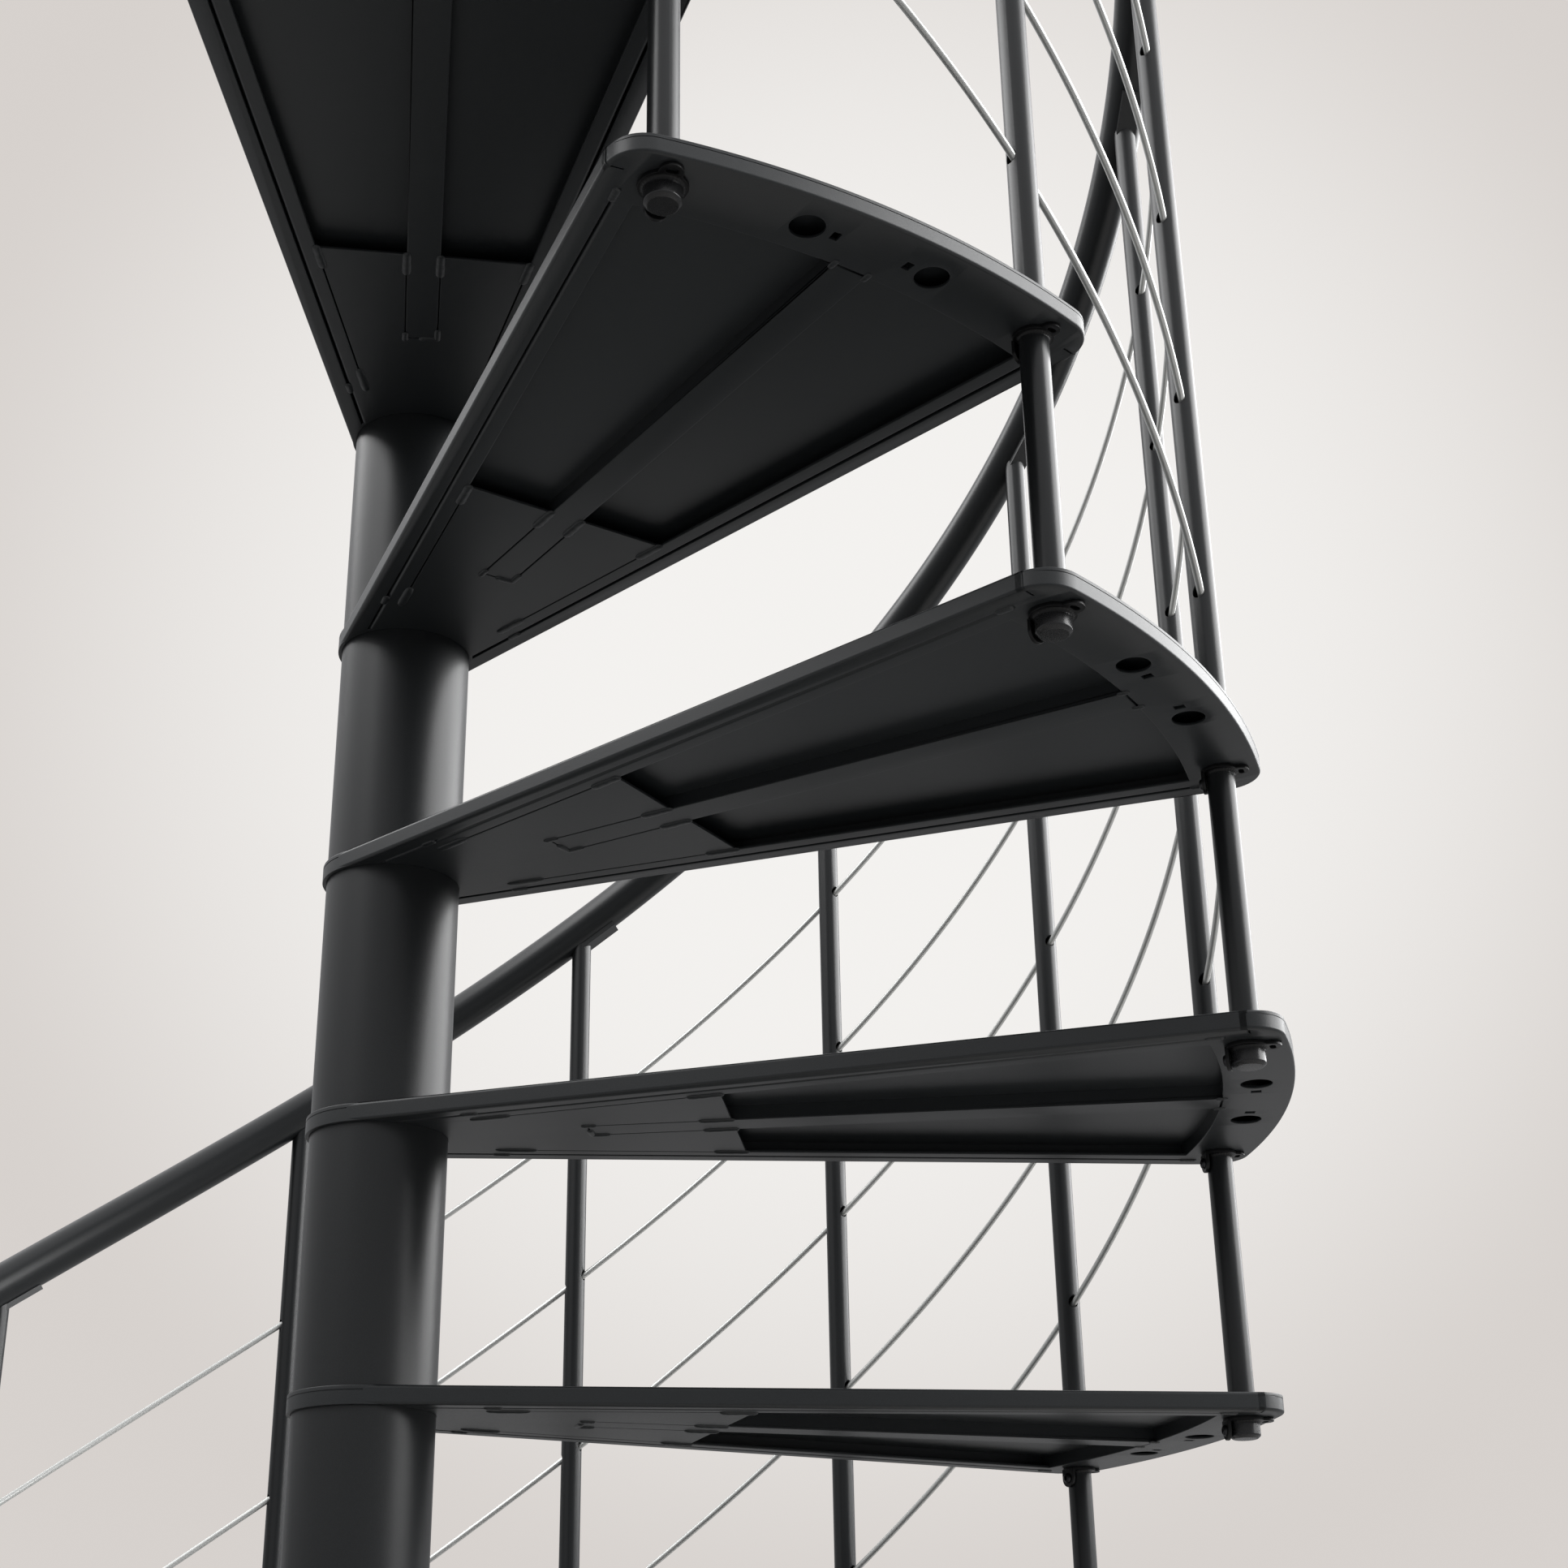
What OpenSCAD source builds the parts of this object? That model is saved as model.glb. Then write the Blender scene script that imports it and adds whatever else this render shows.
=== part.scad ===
// Spiral staircase: folded steel treads on a central column, with a post at each
// pair of tread corners, a round helical handrail and five helical guard rods.
// The stair climbs clockwise seen from above. Millimetres, Z up, origin on the
// floor at the column's axis.

/* [Stair] */
// Number of treads
tread_count = 12; // [4:1:14]
// Height from one tread to the next
rise = 225; // [185:1:250]
// Turn from one tread to the next, in degrees
tread_angle = 25; // [22:0.5:28]
// Radius of the treads' outer edge
stair_radius = 750; // [620:5:950]
// Direction of the lowest tread's centre line, in degrees from +X
first_angle = 196; // [0:1:359]

/* [Column] */
// Outer diameter of the column tube
column_d = 114.3; // [101.6:0.1:139.7]
// Wall of the column tube
column_wall = 4.5; // [3:0.5:8]
// Wall of each tread's hub ring
ring_wall = 3.2; // [2.5:0.1:6]
// Diameter of the base plate
base_d = 300; // [260:5:400]
// Thickness of the base plate
base_t = 12; // [8:1:20]
// Number of anchor holes in the base plate
anchor_count = 6; // [4:1:8]
// Diameter of the anchor holes' circle
anchor_pcd = 240; // [200:5:250]
// Diameter of each anchor hole
anchor_d = 14; // [10:1:18]
// Thickness of the column's top cap
cap_t = 8; // [5:1:15]

/* [Tread] */
// Height of a tread over its side bands
tread_h = 15; // [13:1:40]
// Thickness of the top sheet
sheet_t = 3; // [2:0.5:4]
// Thickness of the folded bands, webs and bottom flanges
fold_t = 2.5; // [2:0.5:3]
// Turn of each side edge from the centre line, in degrees
edge_angle = 11; // [10:0.5:13]
// Width of the lip that is turned in under each side band
lip_w = 12.5; // [8:0.5:16]
// Groove between the lip and the channel beside it
lip_gap = 1.5; // [1:0.5:6]
// Width of a side channel's bottom flange
flange_w = 14; // [9:0.5:18]
// Width of the central rib
rib_w = 28; // [20:1:40]
// Distance from the axis to the channels' inner ends
channel_start = 90; // [85:1:120]
// Distance from the axis to the rib's inner end
rib_start = 178; // [150:1:220]
// Distance from the axis to the hub gusset's outer edge
gusset_reach = 298; // [240:1:360]
// Radial width of the end plate
end_plate_w = 56; // [50:1:80]
// Radius of the outer corners
corner_r = 30; // [15:1:45]
// Width of the joint line round the gusset
joint_w = 1.2; // [0.8:0.1:2]
// Depth of the joint line
joint_depth = 1.2; // [0.5:0.1:1.5]
// Diameter of the two spare post holes in each end plate
spare_hole_d = 25; // [20:0.5:28]
// Slot beside each spare hole, radial and across
spare_slot = [8, 6]; // [4:1:10]
// Gap between a spare hole and its slot
spare_slot_gap = 6.5; // [4:0.5:9]

/* [Posts] */
// Outer diameter of the posts
post_d = 22; // [18:0.5:25]
// Wall of the posts
post_wall = 2; // [1.5:0.5:3]
// Distance from the treads' outer edge to the posts' axes
post_inset = 30; // [24:1:40]
// Clearance round a post in its holes
post_clear = 0.25; // [0.1:0.05:0.5]
// Distance that a post's lower end hangs below its tread
post_drop = 12; // [8:1:30]
// Outer diameter of the posts' end caps
end_cap_d = 26; // [23:0.5:30]
// Thickness of an end cap below its post
end_cap_t = 5; // [3:0.5:8]
// Thickness of the post brackets
bracket_t = 3; // [2:0.5:4]
// Width of a bracket's lug
lug_w = 16; // [12:1:22]
// Drop of a bracket's lug below the tread
lug_drop = 18; // [14:1:26]
// Diameter of the first post's foot
foot_d = 64; // [50:1:90]
// Thickness of the first post's foot
foot_t = 6; // [4:1:10]

/* [Handrail and rods] */
// Height of the handrail's centre above the walking line
rail_height = 1220; // [900:5:1300]
// Diameter of the handrail
rail_d = 42.4; // [33:0.1:50]
// Overhang of the handrail past the end posts, in treads
rail_overhang = 0.3; // [0.1:0.05:0.4]
// Length of a rail saddle's tab along the rail, uphill of its post
saddle_tab = 34; // [20:1:50]
// Thickness of a rail saddle's tab
saddle_t = 3; // [2:0.5:5]
// Width of a rail saddle's tab
saddle_w = 20; // [14:1:28]
// Number of guard rods
rod_count = 5; // [2:1:6]
// Diameter of the guard rods
rod_d = 6; // [5:0.5:10]
// Height of the lowest rod above the walking line
rod_first = 245; // [180:1:300]
// Spacing of the rods
rod_spacing = 185; // [120:1:190]
// Diameter of the rods' holes in the posts
rod_hole_d = 10; // [7.5:0.5:12]
// Overhang of the rods past the end posts, in treads
rod_overhang = 0.06; // [0.05:0.01:0.15]

/* [Hidden] */
$fn = 48;
steel = [0.13, 0.135, 0.14];
stainless = [0.72, 0.72, 0.7];
// Extra reach of a cutting shape past the face that it cuts
eps = 1;
// Gap between curved faces that seat on each other
seat = 0.3;
post_circle = stair_radius - post_inset;
column_top = (tread_count + 1) * rise - cap_t;
ring_r = column_d / 2 + post_clear + ring_wall;
half_angle = tread_angle / 2;
spare_angle = tread_angle / 6;
plate_inner_r = stair_radius - end_plate_w;
lip_inset = fold_t + lip_w;
channel_inset = lip_inset + lip_gap;
flange_inset = channel_inset + flange_w;
// Slope of the helix at the posts, in degrees
helix_angle = atan(rise / (post_circle * tread_angle * PI / 180));
// Rings of the rail and the rods to each tread, and sides of each ring
rail_steps = 10;
rail_sides = 16;
rod_steps = 5;
rod_sides = 8;
arc_steps = 14;
corner_steps = 6;

function two_digits(i) = i < 10 ? str("0", i) : str(i);
function tread_name(i) = str("tread_", two_digits(i));
function post_name(i) = str("post_", two_digits(i));
function rod_name(i) = str("rod_", i);
function polar(r, a) = [r * cos(a), r * sin(a)];
function flip_y(points) = [for (i = [len(points) - 1:-1:0]) [points[i][0], -points[i][1]]];

// ---- Places along the stair ----

// Direction of tread i, counted from 1 at the bottom
function tread_dir(i) = first_angle - (i - 1) * tread_angle;
function tread_under(i) = i * rise - tread_h;

// Post i stands between treads i - 1 and i, at s = i - 1 steps along the helix
function helix_dir(s) = first_angle + half_angle - s * tread_angle;
// Height of the walking line at s steps
function walk_z(s) = (s + 0.5) * rise;

module at_tread(i) {
    translate([0, 0, tread_under(i)])
        rotate([0, 0, tread_dir(i)])
            children();
}

// ---- Tread outline: two straight edges tangent to the hub ring, an outer arc
// and two round corners, all moved inwards by inset ----

function edge_point(inset, along) =
    let (off = ring_r - inset)
    [along * cos(edge_angle) - off * sin(edge_angle), along * sin(edge_angle) + off * cos(edge_angle)];

// Distance along the edge at which it reaches the distance x from the axis
function edge_along(inset, x) = (x + (ring_r - inset) * sin(edge_angle)) / cos(edge_angle);

function corner_centre(inset) =
    let (off = ring_r - corner_r, r = stair_radius - corner_r)
    edge_point(corner_r, sqrt(r * r - off * off));

// Upper half of the outline, from the hub end round the corner to the outer arc
function half_outline(inset) =
    let (
        c = corner_centre(inset),
        r = corner_r - inset,
        a_edge = 90 + edge_angle,
        a_arc = atan2(c[1], c[0])
    )
    concat(
        [edge_point(inset, 0)],
        [for (k = [0:corner_steps]) c + polar(r, a_edge + (a_arc - a_edge) * k / corner_steps)],
        [for (k = [1:arc_steps - 1]) polar(stair_radius - inset, a_arc * (1 - k / arc_steps))]);

module tread_outline(inset) {
    half = half_outline(inset);
    polygon(concat(half, flip_y(half)));
    circle(ring_r - inset);
}

// Strip beside one edge, between two insets and two distances along the tread
module edge_strip(inset_a, inset_b, x_a, x_b) {
    polygon([
        edge_point(inset_a, edge_along(inset_a, x_a)),
        edge_point(inset_a, edge_along(inset_a, x_b)),
        edge_point(inset_b, edge_along(inset_b, x_b)),
        edge_point(inset_b, edge_along(inset_b, x_a))
    ]);
}

module both_sides() {
    children();
    mirror([0, 1]) children();
}

// Open bay between a side channel and the rib, out to the end plate
module bay() {
    intersection() {
        polygon([
            [gusset_reach, rib_w / 2],
            edge_point(flange_inset, edge_along(flange_inset, gusset_reach)),
            edge_point(flange_inset, edge_along(flange_inset, stair_radius)),
            [stair_radius, rib_w / 2]
        ]);
        circle(plate_inner_r, $fn = 180);
    }
}

// Groove between the band's lip and the channel, from the hub to the end plate
module side_gap() {
    intersection() {
        edge_strip(lip_inset, channel_inset, 0, stair_radius);
        circle(plate_inner_r, $fn = 180);
    }
}

module bottom_skin() {
    difference() {
        tread_outline(0);
        both_sides() bay();
        both_sides() side_gap();
    }
}

module channel_webs() {
    both_sides() intersection() {
        edge_strip(channel_inset, channel_inset + fold_t, channel_start, stair_radius);
        circle(plate_inner_r + fold_t, $fn = 180);
    }
}

module rib_webs() {
    web_end = plate_inner_r + fold_t;
    both_sides() translate([rib_start, rib_w / 2 - fold_t]) square([web_end - rib_start, fold_t]);
    translate([rib_start, -rib_w / 2]) square([fold_t, rib_w]);
}

// Upright fold along the end plate's inner edge
module end_web() {
    intersection() {
        tread_outline(0);
        difference() {
            circle(plate_inner_r + fold_t, $fn = 180);
            circle(plate_inner_r, $fn = 180);
        }
    }
}

// Joint lines where the gusset meets the rib and the channels
module joint_lines() {
    both_sides() {
        translate([rib_start, rib_w / 2 - joint_w / 2]) square([gusset_reach - rib_start + eps, joint_w]);
        edge_strip(flange_inset - joint_w / 2, flange_inset + joint_w / 2, channel_start, gusset_reach + eps);
    }
}

module post_places() {
    for (side = [-1, 1]) rotate([0, 0, side * half_angle]) translate([post_circle, 0, 0]) children();
}

module spare_places() {
    for (side = [-1, 1]) rotate([0, 0, side * spare_angle]) translate([post_circle, 0, 0]) children();
}

module spare_slots() {
    reach = spare_hole_d / 2 + spare_slot_gap + spare_slot[1] / 2;
    for (side = [-1, 1])
        rotate([0, 0, side * spare_angle])
            translate([post_circle, -side * reach, 0])
                cube([spare_slot[0], spare_slot[1], 2 * (fold_t + eps)], center = true);
}

// One tread, its underside at z = 0 and its centre line along +X
module tread() {
    color(steel) difference() {
        union() {
            translate([0, 0, tread_h - sheet_t]) linear_extrude(sheet_t) tread_outline(0);
            linear_extrude(tread_h) difference() {
                tread_outline(0);
                tread_outline(fold_t);
            }
            linear_extrude(fold_t) bottom_skin();
            linear_extrude(tread_h) channel_webs();
            linear_extrude(tread_h) rib_webs();
            linear_extrude(tread_h) end_web();
            cylinder(r = ring_r, h = tread_h);
        }
        translate([0, 0, -eps]) cylinder(d = column_d + 2 * post_clear, h = tread_h + 2 * eps);
        post_places() translate([0, 0, -eps]) cylinder(d = post_d + 2 * post_clear, h = tread_h + 2 * eps);
        spare_places() translate([0, 0, -eps]) cylinder(d = spare_hole_d, h = fold_t + 2 * eps);
        spare_slots();
        translate([0, 0, -eps]) linear_extrude(eps + joint_depth) joint_lines();
    }
}

// ---- Column ----

module base_plate() {
    color(steel) difference() {
        cylinder(d = base_d, h = base_t);
        for (k = [0:anchor_count - 1])
            rotate([0, 0, k * 360 / anchor_count])
                translate([anchor_pcd / 2, 0, -eps])
                    cylinder(d = anchor_d, h = base_t + 2 * eps);
    }
}

module column() {
    color(steel) translate([0, 0, base_t]) difference() {
        cylinder(d = column_d, h = column_top - base_t, $fn = 96);
        translate([0, 0, -eps])
            cylinder(d = column_d - 2 * column_wall, h = column_top - base_t + 2 * eps, $fn = 96);
    }
}

module column_cap() {
    edge = cap_t / 3;
    color(steel) translate([0, 0, column_top]) {
        cylinder(r = ring_r, h = cap_t - edge);
        translate([0, 0, cap_t - edge]) cylinder(r1 = ring_r, r2 = ring_r - edge, h = edge);
    }
}

// ---- Posts ----

// Lower end of post i: on the foot at the first post, below tread i - 1 at the others
function post_bottom(i) = i == 1 ? foot_t : tread_under(i - 1) - post_drop;
// A square post end meets the sloping rail at its downhill side
rail_seat_drop = rail_d / 2 / cos(helix_angle) + post_d / 2 * tan(helix_angle) + seat;
function post_top(i) = walk_z(i - 1) + rail_height - rail_seat_drop;

// Moves children to post i, with +X outwards and +Y downhill
module at_post(i, z) {
    rotate([0, 0, helix_dir(i - 1)]) translate([post_circle, 0, z]) children();
}

// Each rod rests against the outer side of its wide slanted hole
module post(i) {
    bottom = post_bottom(i);
    length = post_top(i) - bottom;
    hole_x = seat - (rod_hole_d - rod_d) / 2;
    color(steel) at_post(i, bottom) difference() {
        cylinder(d = post_d, h = length);
        translate([0, 0, -eps]) cylinder(d = post_d - 2 * post_wall, h = length + 2 * eps);
        for (k = [0:rod_count - 1])
            translate([hole_x, 0, walk_z(i - 1) + rod_first + k * rod_spacing - bottom])
                rotate([90 - helix_angle, 0, 0])
                    cylinder(d = rod_hole_d, h = 3 * post_d, center = true);
    }
}

module post_foot() {
    color(steel) at_post(1, 0) {
        cylinder(d = foot_d, h = foot_t);
        translate([0, 0, foot_t]) cylinder(d = post_d - 2 * post_wall - 2 * post_clear, h = 3 * foot_t);
    }
}

// Cap over the lower end of post i
module end_cap(i) {
    bevel = end_cap_t / 2;
    top = tread_under(i - 1) - bracket_t - seat;
    bottom = post_bottom(i) - end_cap_t;
    at_post(i, bottom) difference() {
        union() {
            cylinder(d1 = end_cap_d - 2 * bevel, d2 = end_cap_d, h = bevel);
            translate([0, 0, bevel]) cylinder(d = end_cap_d, h = top - bottom - bevel);
        }
        translate([0, 0, end_cap_t]) cylinder(d = post_d + 2 * post_clear, h = top - bottom);
    }
}

module post_end_caps() {
    color(steel) for (i = [2:tread_count + 1]) end_cap(i);
}

// Bracket under a tread's corner: a plate round the post and a lug down its inner side
module bracket(around_d) {
    plate_r = around_d / 2 + 4;
    tip_r = plate_r / 2;
    lug_x = around_d / 2 + post_clear;
    difference() {
        union() {
            translate([0, 0, -bracket_t]) cylinder(r = plate_r, h = bracket_t);
            translate([0, -tip_r, -bracket_t]) cube([plate_r, 2 * tip_r, bracket_t]);
            translate([plate_r, 0, -bracket_t]) cylinder(r = tip_r, h = bracket_t);
            translate([-lug_x - bracket_t, -lug_w / 2, -lug_drop + lug_w / 2])
                cube([bracket_t, lug_w, lug_drop - lug_w / 2]);
            translate([-lug_x - bracket_t, 0, -lug_drop + lug_w / 2])
                rotate([0, 90, 0]) cylinder(d = lug_w, h = bracket_t);
        }
        translate([0, 0, -bracket_t - eps]) cylinder(d = post_d + 2 * post_clear, h = bracket_t + 2 * eps);
    }
}

module post_brackets() {
    color(steel) for (i = [1:tread_count]) {
        at_post(i, tread_under(i)) bracket(post_d);
        at_post(i + 1, tread_under(i)) bracket(end_cap_d);
    }
}

// ---- Handrail and rods ----

// Saddle between a post's square end and the sloping rail, with a tab on the uphill side
module rail_saddle(i) {
    bed_r = rail_d / 2 + seat;
    tab = saddle_tab + post_d / 2;
    at_post(i, post_top(i)) difference() {
        union() {
            cylinder(d = post_d, h = rail_seat_drop);
            translate([0, 0, rail_seat_drop]) rotate([-helix_angle, 0, 0])
                translate([-saddle_w / 2, -saddle_tab, -bed_r - saddle_t])
                    cube([saddle_w, tab, bed_r]);
        }
        translate([0, 0, rail_seat_drop]) rotate([90 - helix_angle, 0, 0])
            cylinder(r = bed_r, h = 4 * tab, center = true);
        translate([-post_d, -2 * tab, -2 * tab]) cube([2 * post_d, 4 * tab, 2 * tab]);
    }
}

module rail_saddles() {
    color(steel) for (i = [1:tread_count + 1]) rail_saddle(i);
}

// Round bar along the helix at a height above the walking line, past the end posts by
// an overhang, with a ring at each post
module helix_bar(height, d, overhang, steps, sides) {
    past = max(0, round(overhang * steps) - 1);
    stations = concat(
        [-overhang],
        [for (k = [-past:tread_count * steps + past]) k / steps],
        [tread_count + overhang]);
    last = len(stations) - 1;
    points = [
        for (s = stations)
            let (
                a = helix_dir(s),
                out = [cos(a), sin(a), 0],
                up = [-sin(a) * sin(helix_angle), cos(a) * sin(helix_angle), cos(helix_angle)]
            )
            for (j = [0:sides - 1])
                let (f = 360 * j / sides)
                [post_circle * cos(a), post_circle * sin(a), walk_z(s) + height]
                    + d / 2 * (cos(f) * out + sin(f) * up)
    ];
    walls = [
        for (k = [0:last - 1], j = [0:sides - 1])
            let (n = (j + 1) % sides)
            [k * sides + j, k * sides + n, (k + 1) * sides + n, (k + 1) * sides + j]
    ];
    ends = [
        [for (j = [sides - 1:-1:0]) j],
        [for (j = [0:sides - 1]) last * sides + j]
    ];
    polyhedron(points, concat(walls, ends));
}

module handrail() {
    color(steel) helix_bar(rail_height, rail_d, rail_overhang, rail_steps, rail_sides);
}

module rod(i) {
    color(stainless)
        helix_bar(rod_first + (i - 1) * rod_spacing, rod_d, rod_overhang, rod_steps, rod_sides);
}

base_plate();
column();
column_cap();
for (i = [1:tread_count]) at_tread(i) tread();
for (i = [1:tread_count + 1]) post(i);
post_foot();
post_end_caps();
post_brackets();
rail_saddles();
handrail();
for (i = [1:rod_count]) rod(i);
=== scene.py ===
from math import atan, atan2, degrees, hypot, pi, radians

import bmesh
import bpy
import numpy as np
from mathutils import Matrix, Vector


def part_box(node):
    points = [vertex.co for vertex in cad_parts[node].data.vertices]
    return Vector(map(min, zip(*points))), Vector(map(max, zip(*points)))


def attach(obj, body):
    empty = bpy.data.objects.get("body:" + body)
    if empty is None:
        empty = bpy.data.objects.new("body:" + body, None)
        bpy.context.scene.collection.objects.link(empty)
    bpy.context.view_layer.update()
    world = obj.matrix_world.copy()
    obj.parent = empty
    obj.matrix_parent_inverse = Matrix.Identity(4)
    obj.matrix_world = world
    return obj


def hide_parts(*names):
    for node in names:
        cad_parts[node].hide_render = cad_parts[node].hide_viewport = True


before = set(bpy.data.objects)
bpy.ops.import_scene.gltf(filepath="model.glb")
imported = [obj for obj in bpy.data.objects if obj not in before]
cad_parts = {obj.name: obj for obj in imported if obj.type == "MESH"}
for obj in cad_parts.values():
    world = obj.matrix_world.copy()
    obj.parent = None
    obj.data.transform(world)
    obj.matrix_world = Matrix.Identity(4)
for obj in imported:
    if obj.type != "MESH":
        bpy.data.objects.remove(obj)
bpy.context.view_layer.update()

# Spiral staircase: folded steel treads on a tubular column, round posts, a helical
# handrail and helical guard rods. Shapes are worked out in millimetres, treads in
# their own frame: centre line along +X, underside at z = 0.

mm = 0.001


# Sizes read from the frame

def lowHigh(node):
    low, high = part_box(node)
    return np.array(low) / mm, np.array(high) / mm


def planTurn(node):
    low, high = lowHigh(node)
    middle = (low + high) / 2
    return atan2(middle[1], middle[0])


treadNodes = sorted(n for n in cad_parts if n.startswith("tread_"))
postNodes = sorted(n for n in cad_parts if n.startswith("post_") and n[5:].isdigit())
rodNodes = sorted(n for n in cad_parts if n.startswith("rod_"))

treadLow, treadHigh = lowHigh(treadNodes[0])
postLow, postHigh = lowHigh(postNodes[0])
columnLow, columnHigh = lowHigh("column")

stair = {
    "count": len(treadNodes),
    "rise": lowHigh(treadNodes[1])[0][2] - treadLow[2],
    "turn": planTurn(postNodes[0]) - planTurn(postNodes[1]),
    "firstPostTurn": planTurn(postNodes[0]),
    "postCircle": hypot(*((postLow + postHigh) / 2)[:2]),
    "columnRadius": (columnHigh[0] - columnLow[0]) / 2,
    "treadHeight": treadHigh[2] - treadLow[2],
}
stair["slope"] = atan(stair["rise"] / (stair["postCircle"] * stair["turn"]))
print("frame read:", stair["count"], "treads,", round(degrees(stair["turn"]), 2), "degrees a tread")


def treadTurn(i):
    return stair["firstPostTurn"] - (i - 0.5) * stair["turn"]


def treadUnder(i):
    return i * stair["rise"] - stair["treadHeight"]


def postTurn(i):
    return stair["firstPostTurn"] - (i - 1) * stair["turn"]


# Shapes as arrays

def gridFaces(rows, columns, closedRows=False, closedColumns=False):
    # Quads between neighbouring rows and columns of a grid of points.
    r = np.arange(rows if closedRows else rows - 1)
    c = np.arange(columns if closedColumns else columns - 1)
    r, c = np.meshgrid(r, c, indexing="ij")
    rn, cn = (r + 1) % rows, (c + 1) % columns
    quads = np.stack([r * columns + c, r * columns + cn, rn * columns + cn, rn * columns + c], axis=-1)
    return quads.reshape(-1, 4)


def surface(points, closedRows=False, closedColumns=False, flip=False):
    # A grid of points, rows by columns, as one sheet of quads
    quads = gridFaces(points.shape[0], points.shape[1], closedRows, closedColumns)
    return points.reshape(-1, 3), quads[:, ::-1] if flip else quads


def capped(points):
    # The grid with a point in the middle of its first row and of its last one, which close its two ends
    first, last = (np.broadcast_to(row.mean(0), row.shape)[None] for row in (points[0], points[-1]))
    return np.concatenate([first, points, last])


def moved(shape, turn=0.0, place=(0.0, 0.0, 0.0)):
    # The shape turned about Z, then moved.
    points, faces = shape
    c, s = np.cos(turn), np.sin(turn)
    x, y, z = points.T
    return np.stack([x * c - y * s, x * s + y * c, z], 1) + np.array(place), faces


def mirrored(shape):
    # The same shape on the other side of the centre line, faces turned back outwards
    points, faces = shape
    return points * (1, -1, 1), faces[:, ::-1]


def lathe(profile, sides=64):
    # Every (radius, height) of the profile swept round Z: x = r cos a, y = r sin a, z = h.
    r, h = np.array(profile, float).T
    a = np.arange(sides) * 2 * pi / sides
    points = np.stack([np.outer(r, np.cos(a)), np.outer(r, np.sin(a)), np.outer(h, np.ones(sides))], -1)
    return surface(points, closedColumns=True)


def arcPoints(centre, radius, start, end, count):
    # Points at equal steps of angle on an arc.
    a = np.linspace(start, end, count)
    return np.stack([centre[0] + radius * np.cos(a), centre[1] + radius * np.sin(a)], -1)


def makePiece(name, shapes, material, replaced=(), sharpTurn=35, uv=None):
    # Joins the shapes into one mesh, in metres, smooth but for edges sharper than sharpTurn degrees
    points, faces, count = [], [], 0
    for shapePoints, shapeFaces in shapes:
        points.append(shapePoints)
        if isinstance(shapeFaces, np.ndarray):
            faces.extend((shapeFaces + count).tolist())
        else:
            faces.extend([v + count for v in face] for face in shapeFaces)
        count += len(shapePoints)
    mesh = bpy.data.meshes.new(name)
    mesh.from_pydata((np.concatenate(points) * mm).tolist(), [], faces)
    if uv is not None:
        mesh.uv_layers.new(name="UVMap").data.foreach_set("uv", uv.ravel())
    joined = bmesh.new()
    joined.from_mesh(mesh)
    bmesh.ops.remove_doubles(joined, verts=joined.verts, dist=0.002 * mm)     # closes poles and seams
    joined.to_mesh(mesh)
    joined.free()
    mesh.polygons.foreach_set("use_smooth", np.ones(len(mesh.polygons), bool))
    mesh.set_sharp_from_angle(angle=radians(sharpTurn))
    mesh.materials.append(material)
    mesh.update()
    piece = bpy.data.objects.new(name, mesh)
    bpy.context.scene.collection.objects.link(piece)
    # wide faces stay flat beside rounded edges
    piece.modifiers.new("flatFaces", "WEIGHTED_NORMAL").keep_sharp = True
    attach(piece, "root")
    if replaced:
        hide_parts(*replaced)
    return piece


# Finishes

def newGroup(name, given, made):
    # An empty shader group with its named sockets: (name, kind, default) in, (name, kind) out
    group = bpy.data.node_groups.new(name, "ShaderNodeTree")
    for socketName, kind, value in given:
        socket = group.interface.new_socket(socketName, in_out="INPUT", socket_type="NodeSocket" + kind)
        socket.default_value = value
    for socketName, kind in made:
        group.interface.new_socket(socketName, in_out="OUTPUT", socket_type="NodeSocket" + kind)
    return group, group.nodes.new("NodeGroupInput").outputs, group.nodes.new("NodeGroupOutput").inputs


def addNode(tree, kind, values=None, **settings):
    # A shader node with its settings; each value is a constant or another node's output
    node = tree.nodes.new("ShaderNode" + kind)
    for key, value in settings.items():
        setattr(node, key, value)
    for key, value in (values or {}).items():
        if isinstance(value, bpy.types.NodeSocket):
            tree.links.new(value, node.inputs[key])
        else:
            node.inputs[key].default_value = value
    return node


def maths(tree, operation, a, b):
    return addNode(tree, "Math", {0: a, 1: b}, operation=operation).outputs[0]


def noise(tree, place, scale, detail, roughness=0.5):
    return addNode(tree, "TexNoise", {
        "Vector": place, "Scale": scale, "Detail": detail, "Roughness": roughness}).outputs[0]


# bumps to a metre
noiseScales = {"grain": 1100, "peel": 130, "clouds": 4, "dust": 14, "plating": 350, "skin": 2200}


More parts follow.
